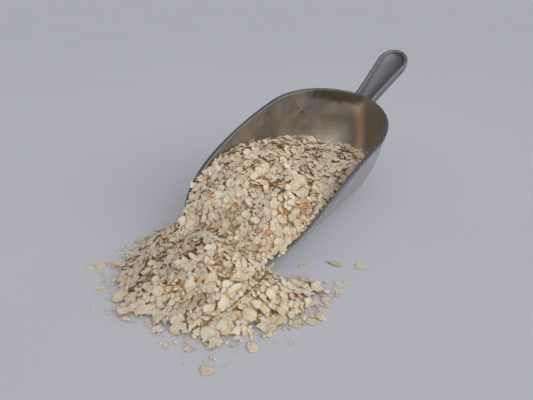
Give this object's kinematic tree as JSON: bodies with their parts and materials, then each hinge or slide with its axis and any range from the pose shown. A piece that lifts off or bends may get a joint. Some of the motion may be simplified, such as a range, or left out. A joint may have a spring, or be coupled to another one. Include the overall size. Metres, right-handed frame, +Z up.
{
  "type": "cast metal scoop of quinoa flakes spilling onto a table",
  "caption": "One-piece cast metal dry-goods scoop lying tipped on a table, filled with quinoa flakes that run over its lip into a low heap.",
  "frame": {"origin": "middle of the whole's box, on the table", "axes": "+Z up from the table, +Y along the scoop from the heap at its mouth to its handle, +X to the right of someone looking along +Y"},
  "size_m": [0.125, 0.2856, 0.0901],
  "materials": {
    "cast_aluminium": "satin, sand cast and tumbled, rim ground bright",
    "quinoa_flakes": "dry matte cream flakes with tan edges"
  },
  "bodies": {
    "root": {"scoop": "cast_aluminium", "flakes": "quinoa_flakes"}
  },
  "joints": []
}
